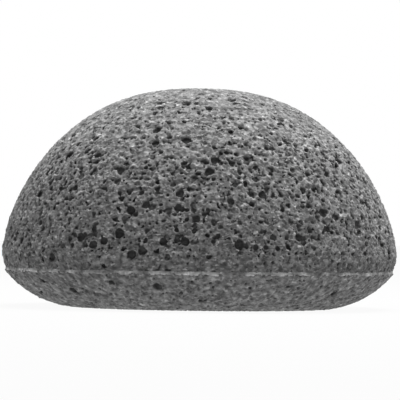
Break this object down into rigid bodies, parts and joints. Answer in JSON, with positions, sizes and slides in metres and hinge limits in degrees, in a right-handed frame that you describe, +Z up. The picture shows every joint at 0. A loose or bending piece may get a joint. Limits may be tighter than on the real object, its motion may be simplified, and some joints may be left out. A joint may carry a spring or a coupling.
{
  "type": "shaving sponge",
  "caption": "Half-ball open-pored foam sponge, a domed working side bonded along a pale seam to a dished base with a flat resting face.",
  "frame": {"origin": "centre of the flat face that the sponge rests on", "axes": "+Z up through the crown, along the axis of the half ball; -Y towards the pictured front"},
  "size_m": [0.08, 0.08, 0.0445],
  "materials": {
    "dome_foam": "matte charcoal-grey open-cell foam with coarse pores",
    "bond_film": "matte pale grey bond film",
    "base_foam": "matte charcoal-grey open-cell foam with a finer, drawn skin"
  },
  "bodies": {
    "root": {"dome": "dome_foam", "bond_layer": "bond_film", "base_pad": "base_foam"}
  },
  "joints": []
}
